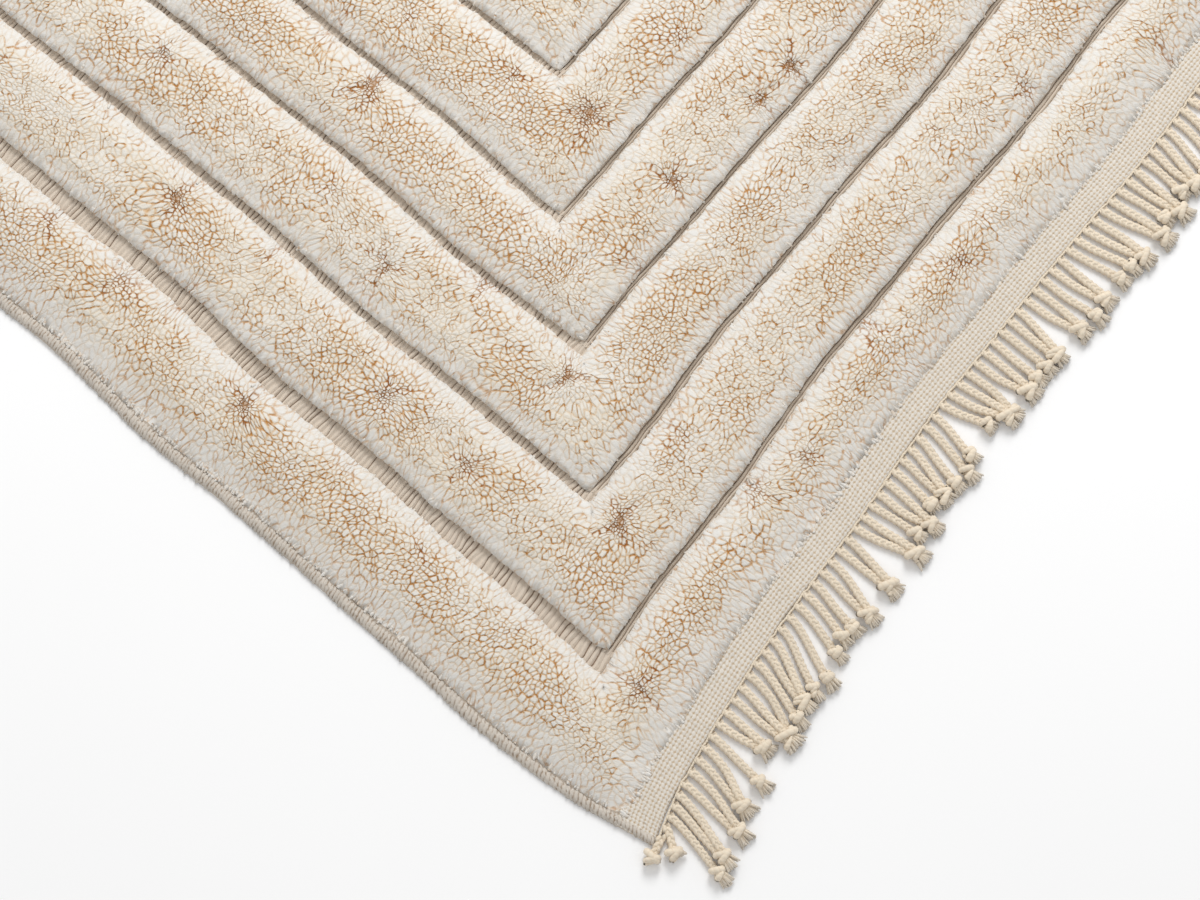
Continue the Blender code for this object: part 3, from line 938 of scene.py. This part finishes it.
class Nodes:
    """A small hand for building one material's node tree."""

    def __init__(self, name, roughness, sheen):
        self.material = bpy.data.materials.new(name)
        self.material.use_nodes = True
        self.tree = self.material.node_tree
        self.shader = self.tree.nodes["Principled BSDF"]
        self.shader.inputs["Roughness"].default_value = roughness
        self.shader.inputs["Sheen Weight"].default_value = sheen
        self.shader.inputs["Sheen Roughness"].default_value = 0.6
        self.shader.inputs["Specular IOR Level"].default_value = 0.2

    def add(self, kind, inputs=None, **settings):
        node = self.tree.nodes.new("ShaderNode" + kind)
        for key, value in settings.items():
            setattr(node, key, value)
        for key, value in (inputs or {}).items():
            self.feed(node.inputs[key], value)
        return node

    def feed(self, socket, value):
        if isinstance(value, bpy.types.NodeSocket):
            self.tree.links.new(value, socket)
        else:
            socket.default_value = value

    def shade(self, name):
        return self.add("Attribute", attribute_name=name).outputs["Fac"]

    def noise(self, size, detail=2.0, rough=0.5):
        """Noise whose lumps are about that size in metres."""
        place = self.add("TexCoord").outputs["Object"]
        settings = {"Vector": place, "Scale": 1 / size, "Detail": detail, "Roughness": rough}
        return self.add("TexNoise", settings).outputs["Fac"]

    def warp(self, place, size, reach):
        """A place pushed about, up to about that reach, by noise of that size."""
        wind = self.add("TexNoise", {"Vector": place, "Scale": 1 / size}).outputs["Color"]
        middle = self.add("VectorMath", {0: wind, 1: (0.5, 0.5, 0.5)}, operation="SUBTRACT").outputs[0]
        push = self.add("VectorMath", {0: middle, 1: (reach, reach, 0.0)}, operation="MULTIPLY").outputs[0]
        return self.add("VectorMath", {0: place, 1: push}, operation="ADD").outputs[0]

    def locks(self, place, size):
        """The pile's locks: a chance for the lock here, one for the next, and how far it is to the
        lock's middle and to the crack."""
        settings = {"Vector": place, "Scale": 1 / size}
        here, beyond, crack = (
            self.add("TexVoronoi", settings, voronoi_dimensions="2D", feature=feature).outputs
            for feature in ("F1", "F2", "DISTANCE_TO_EDGE")
        )
        first, second = (
            self.add("SeparateColor", {"Color": cell["Color"]}).outputs["Red"] for cell in (here, beyond)
        )
        return first, second, here["Distance"], crack["Distance"]

    def nap(self, place):
        """Fine streaks along the way the pile lies, which winds a little."""
        swayed = self.warp(place, NAP_WIND, NAP_SWAY)
        settings = {"Vector": swayed, "Rotation": (0.0, 0.0, NAP_WAY), "Scale": NAP_STREAK}
        streaks = self.add("Mapping", settings, vector_type="TEXTURE").outputs[0]
        return self.add("TexNoise", {"Vector": streaks, "Scale": 1.0, "Detail": 2.0}).outputs["Fac"]

    def math(self, operation, a, b=0.0):
        return self.add("Math", {0: a, 1: b}, operation=operation).outputs[0]

    def plus(self, a, b):
        return self.math("ADD", a, b)

    def minus(self, a, b):
        return self.math("SUBTRACT", a, b)

    def times(self, a, b):
        return self.math("MULTIPLY", a, b)

    def span(self, value, low, high, to_low=0.0, to_high=1.0):
        """value carried from low..high to to_low..to_high, eased and kept inside."""
        settings = {"Value": value, "From Min": low, "From Max": high, "To Min": to_low, "To Max": to_high}
        return self.add("MapRange", settings, interpolation_type="SMOOTHSTEP").outputs[0]

    def mix(self, share, a, b):
        made = self.add("Mix", data_type="RGBA")
        self.feed(made.inputs[0], share)
        self.feed(made.inputs[6], a)
        self.feed(made.inputs[7], b)
        return made.outputs[2]

    def finish(self, colour, height, depth):
        """Gives the shader its colour, and a bump of that height field and depth in metres."""
        self.feed(self.shader.inputs["Base Color"], colour)
        bump = self.add("Bump", {"Height": height, "Distance": depth, "Strength": 1.0})
        self.feed(self.shader.inputs["Normal"], bump.outputs[0])
        return self.material


def rgb(red, green, blue):
    """A colour as seen on a screen, 0 to 255, as the linear one that a shader wants."""

    def linear(part):
        part /= 255
        return part / 12.92 if part <= 0.04045 else ((part + 0.055) / 1.055) ** 2.4

    return (linear(red), linear(green), linear(blue), 1.0)


def pile_material():
    """Cut wool pile: pale locks, each crack between two of them open or closed, with painted shade: tan in
    and round the cracks, brown in the star partings, greyer at the band edges.
    """
    n = Nodes("pile_wool", roughness=0.95, sheen=0.08)
    lay = n.add("Attribute", attribute_name="lay").outputs["Vector"]
    lay = n.warp(lay, LOCK_WARP_SIZE, LOCK_WARP)
    first, second, from_middle, gap = n.locks(lay, LOCK_SIZE)
    rim = n.span(n.plus(n.shade("rim"), n.times(n.noise(0.010), 0.3)), 0.30, 1.05)
    star = n.shade("star")
    opened = n.plus(n.shade("open"), n.times(star, 1.3))

    # Each crack has a chance of its own, the same from both of its sides
    chance = n.math("ABSOLUTE", n.minus(first, second))
    closed = n.minus(0.46, n.times(opened, 0.62))
    strength = n.span(n.minus(chance, closed), -0.32, 0.42)
    strength = n.times(strength, n.span(n.noise(0.0042), 0.34, 0.58, 0.45, 1.0))
    strength = n.times(strength, n.span(from_middle, 0.30, 0.62, 0.50, 1.15))
    fuzz = n.times(n.minus(n.noise(0.0014), 0.5), 0.10)
    gap = n.plus(gap, fuzz)
    width = n.plus(0.07, n.times(strength, 0.14))
    width = n.plus(width, n.times(star, 0.10))
    shown = n.plus(0.10, n.times(strength, 0.90))
    line = n.times(n.span(n.math("DIVIDE", gap, width), 0.0, 1.5, 1.0, 0.0), shown)
    # Painted shade that deepens towards each crack, a tan cushion shading round every lock
    bowl = n.span(gap, -0.05, 0.34, 1.0, 0.0)
    crack_shade = n.times(bowl, n.plus(0.34, n.times(strength, 0.50)))
    # Painted shade down the arms of the star partings, where the pile falls open
    parting_shade = n.plus(star, n.plus(n.times(fuzz, 3.0), n.times(line, 0.35)))
    parting_shade = n.span(parting_shade, 0.62, 0.95)

    tone = n.span(n.noise(0.06, detail=3), 0.35, 0.65, 0.0, 0.6)
    tone = n.plus(tone, n.times(first, 0.4))
    tip = n.mix(tone, rgb(227, 220, 207), rgb(230, 227, 221))
    # Painted shade at the band edges: a cooler, greyer white where the pile falls away; the combed locks
    # there also show fewer, fainter cracks
    tip = n.mix(n.times(rim, 0.8), tip, rgb(228, 226, 222))
    nap = n.nap(lay)
    tip = n.mix(n.span(nap, 0.30, 0.55, 0.22, 0.0), tip, rgb(214, 198, 174))
    soft = n.minus(1.0, n.times(rim, 0.50))
    # The lock's colour with that painted shade, with less of it at the band edges
    shaded_tip = n.mix(n.times(crack_shade, soft), tip, rgb(218, 190, 147))
    # Painted shade in the cracks: tan, darker where a crack is stronger and down the star partings
    deep = n.plus(n.times(strength, 0.50), star)
    root = n.mix(n.span(deep, 0.10, 1.0), rgb(206, 152, 84), rgb(158, 90, 20))
    colour = n.mix(n.times(line, n.times(soft, 0.95)), shaded_tip, root)
    # Painted brown shade in the star partings
    colour = n.mix(n.times(parting_shade, 0.60), colour, rgb(164, 110, 46))
    fibre = n.noise(0.0010, detail=3, rough=0.7)
    groove = n.times(bowl, n.plus(0.45, n.times(strength, 0.55)))
    relief = n.minus(n.times(fibre, 0.30), n.times(groove, soft))
    relief = n.plus(relief, n.times(nap, 0.35))
    return n.finish(colour, relief, PILE_BUMP)


def yarn_material(name, top, fold_shade, dip_from, dip_to, ply_depth):
    """Spun wool: plied strands, pale where they stand up, with painted tan shade in their folds, under other
    strands and between plies, greyer at cut ends.
    """
    n = Nodes(name, roughness=0.9, sheen=0.2)
    blotch = n.plus(n.times(n.shade("tone"), 0.6), n.times(n.noise(0.02), 0.5))
    base = n.mix(blotch, top, tuple(0.88 * part for part in top[:3]) + (1.0,))
    base = n.mix(n.span(n.shade("tip"), 0.35, 1.0, 0.0, 0.7), base, rgb(206, 199, 188))
    wobble = n.times(n.minus(n.noise(0.0016, detail=3), 0.5), 0.35)
    # Painted shade: the fold colour where a yarn lies low, under another strand or in a gap of the weave
    share = n.span(n.plus(n.shade("dip"), wobble), dip_from, dip_to)
    colour = n.mix(share, base, fold_shade)
    # Painted shade in the grooves of the ply twist
    ply = n.math("SINE", n.times(n.shade("ply"), TURN))
    colour = n.mix(n.span(ply, -1.0, -0.3, 0.12, 0.0), colour, fold_shade)
    fibre = n.noise(0.0008, detail=4, rough=0.7)
    relief = n.plus(n.times(ply, 0.25), n.times(fibre, 0.8))
    relief = n.minus(relief, n.times(n.shade("dip"), 1.0))
    return n.finish(colour, relief, ply_depth)


# ---- floor, light and camera
FLOOR_HALF = 6.0
FLOOR_DROP = 0.0003
WORLD_STRENGTH = 0.66
KEY_SIZE = 2.2
KEY_POWER = 120
KEY_DISTANCE = 4.0
KEY_FROM_CAMERA = 165
KEY_ELEVATION = 48.0


def stage():
    n = Nodes("plain_floor", roughness=0.8, sheen=0.0)
    tone = n.mix(n.noise(0.6), (0.95, 0.95, 0.95, 1.0), (0.98, 0.98, 0.98, 1.0))
    material = n.finish(tone, n.noise(0.002), 0.00002)
    corners = [(x * FLOOR_HALF, y * FLOOR_HALF, 0) for x, y in ((-1, -1), (1, -1), (1, 1), (-1, 1))]
    mesh = bpy.data.meshes.new("floor")
    mesh.from_pydata(corners, [], [(0, 1, 2, 3)])
    mesh.materials.append(material)
    floor = bpy.data.objects.new("floor", mesh)
    floor.location.z = -FLOOR_DROP
    bpy.context.scene.collection.objects.link(floor)


CAMERA_AZIMUTH = -50.0
CAMERA_ELEVATION = 78.0
CAMERA_DISTANCE = 4.0
VIEW_WIDTH = 1.2
SENSOR = 36.0
AIM_FROM_SIDE = 0.274
AIM_FROM_END = 0.221


def look_direction(azimuth, elevation):
    a, e = math.radians(azimuth), math.radians(elevation)
    return np.array([-math.sin(a) * math.cos(e), math.cos(a) * math.cos(e), -math.sin(e)])


def point_at(thing, place, target):
    thing.location = place
    thing.rotation_mode = "QUATERNION"
    thing.rotation_quaternion = Vector(target - place).to_track_quat("-Z", "Y")


def camera():
    data = bpy.data.cameras.new("camera")
    data.sensor_width = SENSOR
    data.lens = SENSOR * CAMERA_DISTANCE / VIEW_WIDTH
    data.clip_end = 50
    thing = bpy.data.objects.new("camera", data)
    bpy.context.scene.collection.objects.link(thing)
    target = np.array([-HALF_WIDTH + AIM_FROM_SIDE, -HALF_LENGTH + AIM_FROM_END, PILE_TOP])
    place = target - CAMERA_DISTANCE * look_direction(CAMERA_AZIMUTH, CAMERA_ELEVATION)
    point_at(thing, place, target)
    bpy.context.scene.camera = thing


def lights():
    scene = bpy.context.scene
    world = bpy.data.worlds.new("studio")
    world.use_nodes = True
    background = world.node_tree.nodes["Background"]
    background.inputs["Color"].default_value = (1.0, 1.0, 1.0, 1.0)
    background.inputs["Strength"].default_value = WORLD_STRENGTH
    scene.world = world
    data = bpy.data.lights.new("key", "AREA")
    data.shape = "DISK"
    data.size = KEY_SIZE
    data.energy = KEY_POWER
    key = bpy.data.objects.new("key", data)
    scene.collection.objects.link(key)
    target = np.array([0.0, 0.0, 0.0])
    way = look_direction(CAMERA_AZIMUTH + KEY_FROM_CAMERA, KEY_ELEVATION)
    point_at(key, target - KEY_DISTANCE * way, target)
    scene.view_settings.view_transform = "Standard"
    scene.view_settings.look = "None"


def main():
    pile = pile_material()
    overcast = yarn_material("overcast_wool", rgb(216, 207, 195), rgb(158, 136, 114), 0.40, 1.05, 0.0008)
    woven_ends = yarn_material("woven_wool", rgb(236, 229, 218), rgb(188, 161, 124), 0.45, 1.05, 0.0006)
    bare_ground = yarn_material("ground_wool", rgb(224, 210, 193), rgb(128, 100, 76), 0.52, 1.05, 0.0008)
    braid_yarn = yarn_material("braid_wool", rgb(238, 224, 202), rgb(192, 148, 102), 0.60, 1.12, 0.0004)
    pieces = []
    for index, band in enumerate(pile_bands()):
        tufts, rim = pile_band(index, band, pile)
        pieces += [tufts, rim_tufts(index, rim, pile)]
    for index, channel in enumerate(CHANNELS):
        pieces.append(channel_floor(index, channel, bare_ground))
    for name, way in (("end_strip_near", 1), ("end_strip_far", -1)):
        pieces.append(end_strip(name, way, woven_ends))
    for name, way in (("selvedge_left", 1), ("selvedge_right", -1)):
        pieces.append(selvedge(name, way, overcast))
    cloth = ground_cloth(bare_ground)
    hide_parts("rug_cloth")
    for name, way, node in (("braids_near", 1, "fringe_near"), ("braids_far", -1, "fringe_far")):
        braids = fringe(name, way, braid_yarn)
        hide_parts(node)
        pieces.append(braids)
    stage()
    lights()
    camera()


main()
